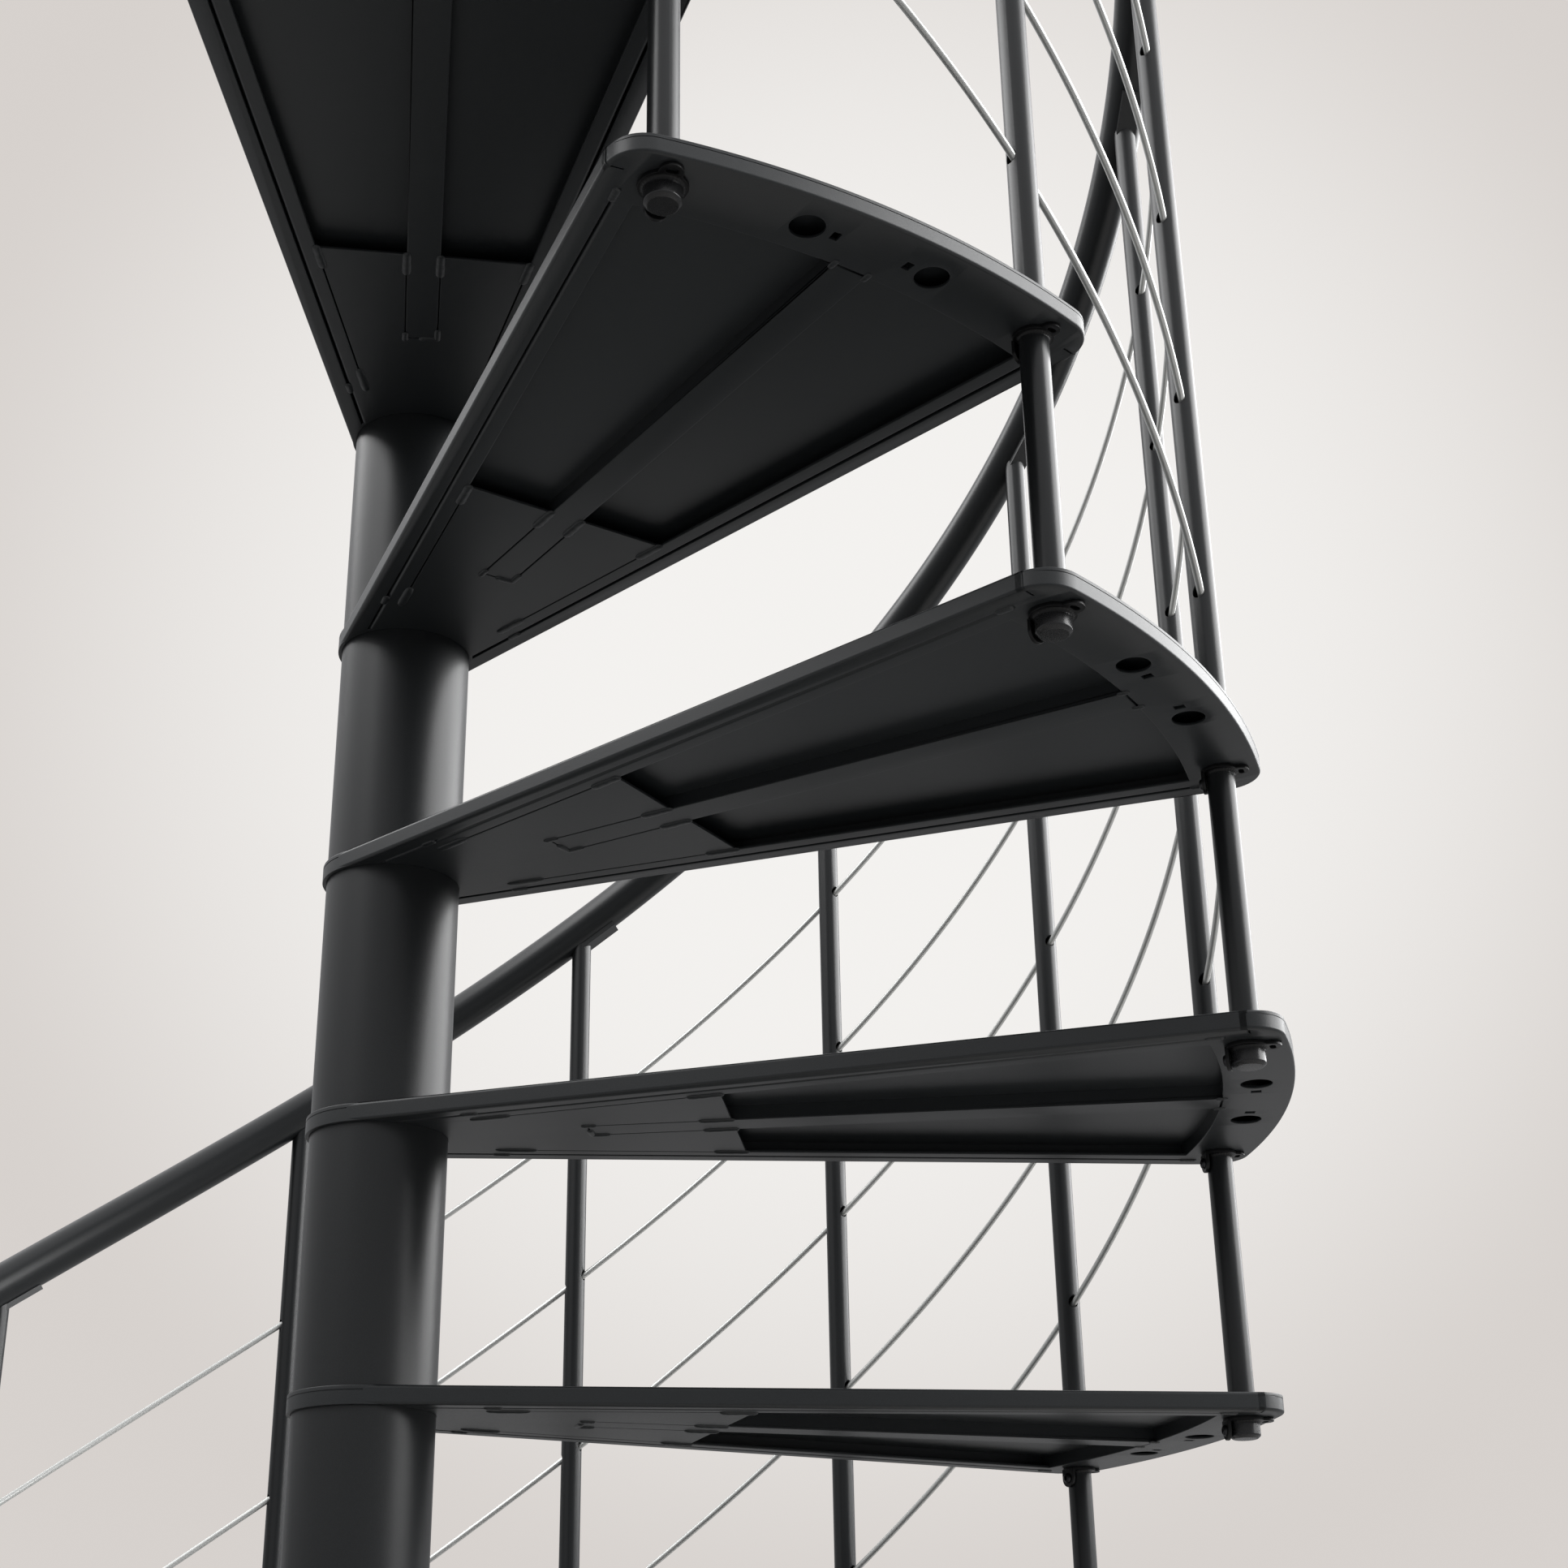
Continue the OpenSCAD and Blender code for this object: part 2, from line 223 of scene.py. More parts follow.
def sprayedPowderGroup():
    # Baked powder: fine grain on a slow orange peel, with faint clouds in tone and gloss
    group, given, made = newGroup("sprayedPowder", [
        ("Colour", "Color", (0.03, 0.03, 0.03, 1)), ("Roughness", "Float", 0.5),
        ("Grain", "Float", 0.5), ("Peel", "Float", 0.5), ("Clouds", "Float", 0.05)],
        [("Colour", "Color"), ("Roughness", "Float"), ("Height", "Float")])
    place = addNode(group, "TexCoord").outputs["Object"]
    grain = noise(group, place, noiseScales["grain"], 2, 0.6)
    peel = noise(group, place, noiseScales["peel"], 1, 0.4)
    clouds = noise(group, place, noiseScales["clouds"], 4, 0.6)
    drift = maths(group, "MULTIPLY", maths(group, "SUBTRACT", clouds, 0.5), given["Clouds"])
    speckle = maths(group, "MULTIPLY", maths(group, "SUBTRACT", grain, 0.5), given["Grain"])
    tone = maths(group, "ADD", maths(group, "ADD", maths(group, "MULTIPLY", drift, 4), speckle), 1)
    tinted = addNode(group, "VectorMath", {0: given["Colour"], "Scale": tone}, operation="SCALE").outputs[0]
    duller = maths(group, "ADD", given["Roughness"], drift)
    gloss = maths(group, "ADD", duller, maths(group, "MULTIPLY", speckle, 0.25))
    fine = maths(group, "MULTIPLY", grain, given["Grain"])
    height = maths(group, "ADD", fine, maths(group, "MULTIPLY", peel, given["Peel"]))
    for name, value in (("Colour", tinted), ("Roughness", gloss), ("Height", height)):
        group.links.new(value, made[name])
    return group


def restingDustGroup():
    # Thin dust on what faces up, in soft patches
    group, given, made = newGroup("restingDust", [("Amount", "Float", 0.1)], [("Mask", "Float")])
    facing = addNode(group, "NewGeometry").outputs["Normal"]
    upward = addNode(group, "SeparateXYZ", {0: facing}).outputs["Z"]
    lying = addNode(group, "MapRange", {"Value": upward, "From Min": 0.75, "From Max": 1.0}).outputs[0]
    place = addNode(group, "TexCoord").outputs["Object"]
    patches = noise(group, place, noiseScales["dust"], 6, 0.7)
    spread = addNode(group, "MapRange", {"Value": patches, "From Min": 0.3, "From Max": 0.75}).outputs[0]
    amount = maths(group, "MULTIPLY", maths(group, "MULTIPLY", lying, spread), given["Amount"])
    group.links.new(amount, made["Mask"])
    return group


def drawnLinesGroup():
    # Fine scratches along a bar, on its unrolled surface, with a slower streakiness
    group, given, made = newGroup(
        "drawnLines", [("Roughness", "Float", 0.3), ("Spread", "Float", 0.15)],
        [("Roughness", "Float"), ("Height", "Float")])
    unrolled = addNode(group, "TexCoord").outputs["UV"]
    fine = addNode(group, "Mapping", {"Vector": unrolled, "Scale": (14, 6000, 1)}).outputs[0]
    slow = addNode(group, "Mapping", {"Vector": unrolled, "Scale": (5, 900, 1)}).outputs[0]
    lines, streaks = noise(group, fine, 1, 3), noise(group, slow, 1, 2)
    both = maths(group, "ADD", maths(group, "MULTIPLY", lines, 0.6), maths(group, "MULTIPLY", streaks, 0.4))
    uneven = maths(group, "MULTIPLY", maths(group, "SUBTRACT", both, 0.5), given["Spread"])
    group.links.new(maths(group, "ADD", given["Roughness"], uneven), made["Roughness"])
    group.links.new(both, made["Height"])
    return group


sprayedPowder, restingDust, drawnLines = sprayedPowderGroup(), restingDustGroup(), drawnLinesGroup()

finishes = {
    # linear colour, gloss, the shares of grain, peel and clouds, the grain's height in mm, and dust
    "treadCoat": {"colour": (0.0180, 0.0208, 0.0226), "roughness": 0.40, "specular": 0.5,
                  "grain": 0.8, "peel": 0.5, "clouds": 0.06, "height": 0.05, "dust": 0.1},
    # the column's and the railing's coats are the treads' powder coat made darker: painted shade on base,
    # column, posts and handrail
    "columnCoatPaintedShade": {"colour": (0.0145, 0.0162, 0.0175), "roughness": 0.37, "specular": 0.45,
                   "grain": 0.8, "peel": 0.6, "clouds": 0.05, "height": 0.05, "dust": 0.06},
    "railingCoatPaintedShade": {"colour": (0.0145, 0.0162, 0.0175), "roughness": 0.32, "specular": 0.45,
                    "grain": 0.6, "peel": 0.6, "clouds": 0.05, "height": 0.04, "dust": 0.05},
    # the brackets are drawn near black, far darker than the other coats
    "bracketBlack": {"colour": (0.006, 0.0063, 0.0068), "roughness": 0.36, "specular": 0.3,
                     "grain": 0.4, "peel": 0.6, "clouds": 0.05, "height": 0.05, "dust": 0.0},
    "capNylon": {"colour": (0.016, 0.0165, 0.0175), "roughness": 0.27, "specular": 0.5,
                 "grain": 0.25, "peel": 0.9, "clouds": 0.05, "height": 0.08, "dust": 0.0},
}


dustColour = (0.3, 0.29, 0.27, 1)


def newMaterial(name):
    # A material, its node tree and its main shader
    material = bpy.data.materials.new(name)
    material.use_nodes = True
    return material, material.node_tree, material.node_tree.nodes["Principled BSDF"]


def linkSurface(tree, shader, colour, roughness, height, depth):
    # Feeds the shader a colour, a roughness, and a bump that is depth millimetres high
    bump = addNode(tree, "Bump", {"Height": height, "Distance": depth * mm, "Strength": 1})
    tree.links.new(colour, shader.inputs["Base Color"])
    tree.links.new(roughness, shader.inputs["Roughness"])
    tree.links.new(bump.outputs[0], shader.inputs["Normal"])


def toneRamp(tree, factor, stops):
    # Colours blended between stops of (position, colour)
    ramp = addNode(tree, "ValToRGB", {"Fac": factor})
    steps = ramp.color_ramp.elements
    while len(steps) < len(stops):
        steps.new(0.5)
    for step, (position, colour) in zip(steps, stops):
        step.position, step.color = position, (*colour, 1)
    return ramp.outputs[0]


def sprayedMaterial(name):
    # Powder coat with its own grain and gloss, under a little dust
    finish = finishes[name]
    material, tree, shader = newMaterial(name)
    shader.inputs["Specular IOR Level"].default_value = finish["specular"]
    powder = addNode(tree, "Group", node_tree=sprayedPowder)
    for key in ("roughness", "grain", "peel", "clouds"):
        powder.inputs[key.capitalize()].default_value = finish[key]
    powder.inputs["Colour"].default_value = (*finish["colour"], 1)
    dust = addNode(tree, "Group", node_tree=restingDust)
    dust.inputs["Amount"].default_value = finish["dust"]
    mask = dust.outputs["Mask"]
    dusty = addNode(tree, "Mix", {0: mask, 6: powder.outputs["Colour"], 7: dustColour}, data_type="RGBA")
    rougher = maths(tree, "ADD", powder.outputs["Roughness"], mask)
    linkSurface(tree, shader, dusty.outputs[2], rougher, powder.outputs["Height"], finish["height"])
    return material


def drawnSteelMaterial():
    # Stainless bar, drawn lengthwise. It scatters about as much light as it mirrors, and that pale scattered
    # part is painted reflection; the tone beneath is the steel's own grey with its drawn lines
    material, tree, shader = newMaterial("drawnSteelPaintedReflection")
    # only partly metal: the rest shows the pale tone as painted reflection
    shader.inputs["Metallic"].default_value = 0.55
    lines = addNode(tree, "Group", node_tree=drawnLines)
    lines.inputs["Roughness"].default_value = 0.36
    height = lines.outputs["Height"]
    tone = toneRamp(tree, height, [(0.3, (0.70, 0.71, 0.69)), (0.7, (0.84, 0.85, 0.83))])
    linkSurface(tree, shader, tone, lines.outputs["Roughness"], height, 0.008)
    return material


def plainSteelMaterial(name, darker, lighter, roughness):
    # Plated or blackened steel: patchy tone and gloss, with a fine uneven skin
    material, tree, shader = newMaterial(name)
    shader.inputs["Metallic"].default_value = 0.9
    place = addNode(tree, "TexCoord").outputs["Object"]
    patches = noise(tree, place, noiseScales["plating"], 4)
    skin = noise(tree, place, noiseScales["skin"], 2)
    tone = toneRamp(tree, patches, [(0.35, darker), (0.65, lighter)])
    gloss = addNode(tree, "MapRange", {
        "Value": patches, "To Min": roughness - 0.1, "To Max": roughness + 0.1})
    linkSurface(tree, shader, tone, gloss.outputs[0], skin, 0.03)
    return material


treadCoat, columnCoatPaintedShade, railingCoatPaintedShade, bracketBlack, capNylon = (sprayedMaterial(name) for name in finishes)
drawnSteelPaintedReflection = drawnSteelMaterial()
screwSteel = plainSteelMaterial("screwSteel", (0.035, 0.035, 0.038), (0.07, 0.07, 0.074), 0.35)
anchorSteel = plainSteelMaterial("anchorSteel", (0.42, 0.43, 0.44), (0.56, 0.57, 0.58), 0.38)
print("finishes made:", len(bpy.data.materials), "materials")


# Folded treads

treadPan = {
    "edgeTurn": radians(11),       # each side edge from the centre line
    "hubRadius": 60.6,             # hub ring outside, which the edges touch
    "outerRadius": stair["postCircle"] + 30,
    "cornerRadius": 30,
    "sheet": 3,
    "fold": 2.5,                   # thickness of bands, webs and flanges
    "foldRound": 2.2,              # outside radius of the top folds
    "lipRound": 2.5,               # outside radius of the bottom folds
    "endRound": 0.7,               # outside radius of the end band's top edge
    "endSeam": 0.45,               # depth of the seam under the top sheet's outer end
    "lip": 12.5,                   # width of the band's lip past its fold
    "lipGap": 1.5,                 # groove between the lip and the channel
    "channelRound": 3,             # outside radius of the channel's fold beside the groove
    "flange": 14,
    "ribHalf": 14,
    "channelStart": 90,
    "ribStart": 178,
    "gussetEnd": 298,
    "endPlateRadius": 694,
    "jointHalf": 0.6,
    "plateRound": 0.6,             # rounding of the lower plate's edges
    "spareHoleRadius": 12.5,
    "slot": (8, 6),
    "slotGap": 6.5,
    "postHoleRadius": 11.25,
    "cornerSeamX": 700,            # where the side band meets the outer band
    "plateHub": 2.6,               # how far the lower plate reaches inside the hub ring's face
    "grooveHub": 0.9,              # the same for the groove's inner end
    "lipJointEnds": (4, 2),        # what the joint across the lip leaves at the band and at the groove
    "ribJointShort": 1.5,          # what the joints leave before the gusset's outer edge
}
lipInset = treadPan["fold"] + treadPan["lip"]
channelInset = lipInset + treadPan["lipGap"]
flangeInset = channelInset + treadPan["flange"]


def edgePoint(inset, along, side=1):
    # A point beside the side edge: along it from the hub, and inset to its right.
    t, off = treadPan["edgeTurn"], treadPan["hubRadius"] - inset
    x = along * np.cos(t) - off * np.sin(t)
    y = along * np.sin(t) + off * np.cos(t)
    return np.stack([x, side * y], -1)


def alongAt(inset, x):
    # Distance along the edge at which it reaches x.
    t = treadPan["edgeTurn"]
    return (x + (treadPan["hubRadius"] - inset) * np.sin(t)) / np.cos(t)


def alongAtRadius(inset, radius):
    # Distance along the edge at which it reaches a radius from the axis.
    return np.sqrt(radius ** 2 - (treadPan["hubRadius"] - inset) ** 2)


def treadOutline(insets):
    # The outline from the upper hub end round to the lower one, once for each column of insets:
    # a straight edge, a corner arc and the outer arc, whose radii an inset makes smaller.
    # insets has one row of offsets or a row for each of the outline's stations.
    p = treadPan
    r = p["outerRadius"] - p["cornerRadius"]
    corner = edgePoint(p["cornerRadius"], alongAtRadius(p["cornerRadius"], r))
    cornerTurn = atan2(corner[1], corner[0])
    seam = alongAt(0, p["cornerSeamX"])
    alongs = seam * np.array([0, 0.25, 0.5, 0.75, 1, 1, 1]) + np.array([0, 0, 0, 0, -0.5, 0, 0.5])
    turns = np.linspace(pi / 2 + p["edgeTurn"], cornerTurn, 13), np.linspace(cornerTurn, 0, 17)[1:]
    ends = np.cumsum([len(alongs), len(turns[0]), len(turns[1])])
    insets = np.broadcast_to(insets, (2 * ends[2] - 1, np.shape(insets)[-1]))
    edge, bend, arc = np.split(insets[:ends[2]], ends[:2])
    toward = [np.stack([np.cos(a), np.sin(a)], -1)[:, None] for a in turns]
    half = np.concatenate([
        edgePoint(edge, alongs[:, None]),
        corner + (p["cornerRadius"] - bend)[..., None] * toward[0],
        (p["outerRadius"] - arc)[..., None] * toward[1]])
    return np.concatenate([half, half[-2::-1] * (1, -1)])


def panSkin():
    # Top sheet, fold and side or outer band as one profile carried along the outline.
    # A column of the profile is an inset and a height; the first and last columns run in to the hub.
    # The fold under the band ends where the lower plate's face begins.
    p = treadPan
    stations = len(treadOutline(np.zeros((1, 1))))
    share = np.abs(np.linspace(-1, 1, stations))
    onEnd = np.clip((0.72 - share) / 0.1, 0, 1)                 # 1 along the outer end, 0 on the sides
    foldRound = p["foldRound"] + (p["endRound"] - p["foldRound"]) * onEnd
    seamDepth = p["endSeam"] * onEnd
    seamStation = np.zeros(stations)
    seamStation[[5, -6]] = 0.5                                    # upright seam between side and outer band
    top, under = stair["treadHeight"], stair["treadHeight"] - p["sheet"]
    fold, bottom = p["fold"], p["lipRound"]
    one = np.ones(stations)
    q = np.linspace(0, pi / 2, 6)
    columns = [(foldRound * (1 - np.sin(a)), top - foldRound * (1 - np.cos(a))) for a in q]
    columns += [
        (0 * one, (under + 0.35) * one),
        (seamDepth, (under + 0.1) * one),
        (seamDepth, (under - 0.1) * one),
        (seamStation, (under - 0.35) * one)]
    q = np.linspace(0, pi / 2, 8)
    columns += [
        (seamStation * np.cos(a) ** 2 + bottom * (1 - np.cos(a)), bottom * (1 - np.sin(a)) * one) for a in q]
    columns += [
        ((bottom + 0.7) * one, 0.02 * one),
        ((bottom + 0.7) * one, fold / 2 * one),
        (fold * one, (fold - 0.3) * one),
        (fold * one, (under - 1.5) * one),
        ((fold + 0.45) * one, (under - 0.45) * one),
        ((fold + 1.5) * one, under * one)]
    insets = np.stack([c[0] for c in columns], -1)
    heights = np.stack([c[1] for c in columns], -1)
    points = np.concatenate([treadOutline(insets), heights[..., None]], -1)
    hubTurn = pi / 2 + p["edgeTurn"]
    a = np.linspace(hubTurn, -hubTurn, stations)
    hub = (p["hubRadius"] - 0.7) * np.stack([np.cos(a), np.sin(a)], -1)
    hubTop = np.concatenate([hub, np.full((stations, 1), top)], -1)[:, None]
    hubUnder = np.concatenate([hub, np.full((stations, 1), under)], -1)[:, None]
    return surface(capped(np.concatenate([hubTop, points, hubUnder], 1)), closedColumns=True, flip=True)


hubCollar = {
    "clear": 0.25,                 # gap round the column
    "under": 0.1,                  # height of its lower face
    "groove": 3.2,                 # from the top down to the groove
    "grooveWidth": 1.0,
    "grooveDepth": 0.5,
    "grooveSlope": 0.3,
}


def hubRing():
    # Collar round the column: a lathe profile with a thin groove below its top.
    b, r, top = hubCollar, treadPan["hubRadius"], stair["treadHeight"]
    inner, low, slope = stair["columnRadius"] + b["clear"], b["under"], b["grooveSlope"]
    deep, upper, lower = r - b["grooveDepth"], top - b["groove"], top - b["groove"] - b["grooveWidth"]
    return lathe([
        (inner, low), (r - 0.6, low), (r - 0.18, 0.25), (r, 0.6), (r, lower), (deep, lower + slope),
        (deep, upper - slope), (r, upper), (r, top - 0.8), (r - 0.25, top - 0.25), (r - 0.8, top),
        (inner, top), (inner, low)], sides=128)


def flatPlate(loops, low, high, rounding):
    # A flat plate between two heights, filled between closed loops, with every edge rounded.
    curve = bpy.data.curves.new("plate", "CURVE")
    curve.dimensions, curve.fill_mode = "2D", "BOTH"
    curve.extrude = (high - low) / 2 - rounding
    curve.bevel_depth, curve.offset, curve.bevel_resolution = rounding, -rounding, 1
    for loop in loops:
        spline = curve.splines.new("POLY")
        spline.points.add(len(loop) - 1)
        flat = np.concatenate([loop, np.zeros((len(loop), 1)), np.ones((len(loop), 1))], 1)
        spline.points.foreach_set("co", flat.ravel())
        spline.use_cyclic_u = True
    holder = bpy.data.objects.new("plate", curve)
    bpy.context.scene.collection.objects.link(holder)
    mesh = bpy.data.meshes.new_from_object(holder.evaluated_get(bpy.context.evaluated_depsgraph_get()))
    points = np.zeros(len(mesh.vertices) * 3)
    mesh.vertices.foreach_get("co", points)
    points = points.reshape(-1, 3) + (0, 0, (low + high) / 2)
    faces = [tuple(polygon.vertices) for polygon in mesh.polygons]
    bpy.data.objects.remove(holder)
    bpy.data.curves.remove(curve)
    bpy.data.meshes.remove(mesh)
    return points, faces


def lowerPlate():
    # Hub gusset, lips, channel flanges, rib and end plate, flush in one plane.
    p = treadPan
    plateRadius, fold, w = p["endPlateRadius"], p["fold"], p["jointHalf"]
    hubTurn = pi / 2 + p["edgeTurn"]
    hubArc = arcPoints((0, 0), p["hubRadius"] - p["plateHub"], hubTurn, -hubTurn, 32)
    outline = treadOutline(np.array([[p["lipRound"] - p["plateRound"]]]))[:, 0]
    edge = np.concatenate([outline, hubArc[::-1]])

    # the groove's inner side runs just inside the channel's fold
    grooveHub = p["hubRadius"] - p["grooveHub"]
    grooveSide = channelInset + p["channelRound"] - p["plateRound"]
    groove = np.array([
        edgePoint(lipInset, alongAtRadius(lipInset, grooveHub)),
        edgePoint(lipInset, alongAtRadius(lipInset, plateRadius)),
        edgePoint(grooveSide, alongAtRadius(grooveSide, plateRadius)),
        edgePoint(grooveSide, alongAtRadius(grooveSide, grooveHub))])
    seam = alongAt(0, p["cornerSeamX"])
    bandSide, grooveEnd = p["lipJointEnds"][0], lipInset - p["lipJointEnds"][1]
    lipJoint = np.array([edgePoint(inset, seam + end) for inset, end in (
        (bandSide, -w), (bandSide, w), (grooveEnd, w), (grooveEnd, -w))])

    ribTurn = np.arcsin(p["ribHalf"] / plateRadius)
    farFlange = edgePoint(flangeInset, alongAtRadius(flangeInset, plateRadius))
    bayArc = arcPoints((0, 0), plateRadius, atan2(farFlange[1], farFlange[0]), ribTurn, 12)
    bayHub = edgePoint(flangeInset, alongAt(flangeInset, p["gussetEnd"]))
    bay = np.concatenate([[(p["gussetEnd"], p["ribHalf"])], [bayHub], bayArc])

    short = p["gussetEnd"] - p["ribJointShort"]
    channelJoint = np.array([
        edgePoint(flangeInset - w, alongAt(flangeInset, p["channelStart"])),
        edgePoint(flangeInset - w, alongAt(flangeInset, short)),
        edgePoint(flangeInset + w, alongAt(flangeInset, short)),
        edgePoint(flangeInset + w, alongAt(flangeInset, p["channelStart"]))])
    h, start = p["ribHalf"], p["ribStart"]
    ribJoint = np.array([
        (short, h + w), (start - w, h + w), (start - w, -h - w), (short, -h - w),
        (short, w - h), (start + w, w - h), (start + w, h - w), (short, h - w)])
    x = plateRadius + w
    ribEnd = np.array([(x - w, -h), (x + w, -h), (x + w, h), (x - w, h)])
    loops = [edge, ribJoint, ribEnd]
    for loop in (groove, lipJoint, bay, channelJoint):
        loops += [loop, loop * (1, -1)]

    circle = arcPoints((0, 0), 1, 0, 2 * pi, 41)[:-1]
    for side in (-1, 1):
        a = side * stair["turn"] / 6
        spare = stair["postCircle"] * np.array([np.cos(a), np.sin(a)])
        loops.append(spare + circle * p["spareHoleRadius"])
        reach = p["spareHoleRadius"] + p["slotGap"] + p["slot"][1] / 2
        along, across = np.array([np.cos(a), np.sin(a)]), np.array([-np.sin(a), np.cos(a)])
        middle = spare - side * reach * across
        corners = [(-1, -1), (1, -1), (1, 1), (-1, 1)]
        loops.append(np.array([
            middle + s * along * p["slot"][0] / 2 + t * across * p["slot"][1] / 2 for s, t in corners]))
        a = side * stair["turn"] / 2
        post = stair["postCircle"] * np.array([np.cos(a), np.sin(a)])
        loops.append(post + circle * p["postHoleRadius"])
    return flatPlate(loops, 0, fold, p["plateRound"])


def uprightStrip(corners, low, high):
    # A web on a four-cornered footprint, closed all round.
    ring = np.concatenate([np.concatenate([corners, np.full((4, 1), z)], 1) for z in (low, high)])
    faces = [(0, 3, 2, 1), (4, 5, 6, 7), (0, 1, 5, 4), (1, 2, 6, 5), (2, 3, 7, 6), (3, 0, 4, 7)]
    return ring, faces


def endWeb(low, high):
    # Upright fold along the end plate's inner edge: a rectangle carried along an arc
    inner = treadPan["endPlateRadius"] + 0.05
    outer = inner + treadPan["fold"]
    edge = edgePoint(treadPan["fold"] / 2, alongAtRadius(treadPan["fold"] / 2, inner))
    a = np.linspace(-1, 1, 41)[:, None] * atan2(edge[1], edge[0])
    r, z = np.array([inner, outer, outer, inner]), np.array([low, low, high, high])
    return surface(capped(np.stack([r * np.cos(a), r * np.sin(a), z + 0 * a], -1)), closedColumns=True)


def channelFold(high):
    # A channel's web and the fold at its foot: a quarter circle, then straight up, carried along the edge
    p = treadPan
    r, fold = p["channelRound"], p["fold"]
    q = np.linspace(0, pi / 2, 8)
    insets = channelInset + np.concatenate([r * (1 - np.sin(q)), [0, fold, fold, r + 0.6]])
    heights = np.concatenate([r * (1 - np.cos(q)), [high, high, fold - 0.3, 0.02]])
    ends = alongAtRadius(channelInset, np.array([[p["hubRadius"] - 1], [p["endPlateRadius"] + 1]]))
    places = edgePoint(insets[None] + 0 * ends, ends)
    upright = np.broadcast_to(heights[None, :, None], (*places.shape[:2], 1))
    return surface(capped(np.concatenate([places, upright], -1)), closedColumns=True)


def webs():
    # Upright webs of the two channels, of the rib and of the end plate.
    p = treadPan
    low, high = p["fold"] - 0.4, stair["treadHeight"] - p["sheet"] + 0.2
    shapes = [channelFold(high), mirrored(channelFold(high))]
    for side in (-1, 1):
        y0, y1 = side * p["ribHalf"], side * (p["ribHalf"] - p["fold"])
        x0, x1 = p["ribStart"], p["endPlateRadius"] + 2
        corners = np.array([(x0, y0), (x0, y1), (x1, y1), (x1, y0)])
        shapes.append(uprightStrip(corners[::side], low, high))
    y = p["ribHalf"] - p["fold"]
    x = p["ribStart"]
    corners = np.array([(x, -y), (x + p["fold"], -y), (x + p["fold"], y), (x, y)])
    return shapes + [uprightStrip(corners, low, high), endWeb(low, high)]


# Weld beads and screws

def bead(start, end, halfWidth, height, normal=(0, 0, -1)):
    # A bead from start to end: half an ellipse across, swollen ripples along.
    # place = start + u (end - start) + w(u) (cos v side + h sin v normal), with blunt round ends
    start, end, normal = (np.array(v, float) for v in (start, end, normal))
    length = np.linalg.norm(end - start)
    along = (end - start) / length
    side = np.cross(normal, along)
    u = (1 - np.cos(np.linspace(0, pi, 21))) / 2
    v = np.linspace(-0.15 * pi, 1.15 * pi, 11)
    ripples = 1 + 0.05 * np.cos(2 * pi * u * length / 3.2) + 0.04 * np.sin(7 * u + length)
    swell = np.sqrt(np.clip(1 - (2 * u - 1) ** 8, 0, 1)) * ripples
    u, swell = u[:, None, None], swell[:, None, None]
    across = np.cos(v)[None, :, None] * side * halfWidth
    rise = np.sin(v)[None, :, None] * normal * height
    return surface(start + u * (end - start) + swell * (across + rise), closedColumns=True)


# half width and height
beadSizes = {"joint": (4.0, 2.2), "slot": (3.0, 1.9), "bridge": (3.2, 1.8), "corner": (2.6, 1.5)}
# where each weld starts and ends, past the edge that it is measured from
beadSpans = {
    "gusset": (-28, 3),
    "channelEnd": (-2, 33),
    "hubBridge": (-7, 8),
    "outerBridge": (-24, -9),
    "corner": (-5, 5),
}
beadSink = 0.3                     # how far a weld's middle lies above the underside


def treadBeads():
    # Short welds on the underside, all in the tread's frame
    p = treadPan
    grooveInset = (lipInset + channelInset) / 2
    y, x = p["ribHalf"], p["ribStart"]

    def weld(a, b, size):
        return bead((*a, beadSink), (*b, beadSink), *beadSizes[size])

    def alongEdge(inset, edge, span, size):
        a, b = (edgePoint(inset, alongAt(inset, p[edge] + reach)) for reach in beadSpans[span])
        return weld(a, b, size)

    def alongRib(edge, span, size):
        a, b = ((p[edge] + reach, y) for reach in beadSpans[span])
        return weld(a, b, size)

    half = [
        alongEdge(flangeInset, "gussetEnd", "gusset", "joint"),
        alongEdge(flangeInset, "channelStart", "channelEnd", "joint"),
        alongEdge(grooveInset, "channelStart", "hubBridge", "bridge"),
        alongEdge(grooveInset, "endPlateRadius", "outerBridge", "bridge"),
        alongRib("gussetEnd", "gusset", "joint"),
        alongRib("endPlateRadius", "corner", "corner")]
    # round the inner end of the rib: one short weld, and one that turns the other corner
    ribEnd = [weld(a, b, "slot") for a, b in (
        ((x - 5, -y), (x + 8, -y)), ((x, -2), (x, y + 1.5)), ((x - 2, y), (x + 15, y)))]
    return half + [mirrored(shape) for shape in half] + ribEnd


def screwHead(radius, height):
    # A low domed head with a hexagonal socket: rings of radius r(a) swept round Z, the
    # socket's rings following a hexagon, r = flat / cos(a within each sixth)
    a = np.arange(36) * 2 * pi / 36
    six = (a + pi / 6) % (pi / 3) - pi / 6
    flat = radius * 0.45
    rings = [(np.zeros(36), 0), (np.full(36, radius), 0), (np.full(36, radius), height * 0.35),
             (np.full(36, radius * 0.86), height * 0.78), (np.full(36, radius * 0.62), height),
             (flat / np.cos(six) * 1.06, height), (flat / np.cos(six), height * 0.94),
             (flat / np.cos(six), height * 0.35), (np.zeros(36), height * 0.3)]
    points = np.array([np.stack([r * np.cos(a), r * np.sin(a), np.full(36, h)], -1) for r, h in rings])
    return surface(points, closedColumns=True)


def facing(shape, normal, place):
    # A shape made along +Z, turned to face the normal, then moved to its place
    points, faces = shape
    normal = np.array(normal, float) / np.linalg.norm(normal)
    helper = np.array((0, 0, 1.0)) if abs(normal[2]) < 0.9 else np.array((1.0, 0, 0))
    x = np.cross(helper, normal)
    x /= np.linalg.norm(x)
    y = np.cross(normal, x)
    return points @ np.array([x, y, normal]) + np.array(place), faces


# Helical bars

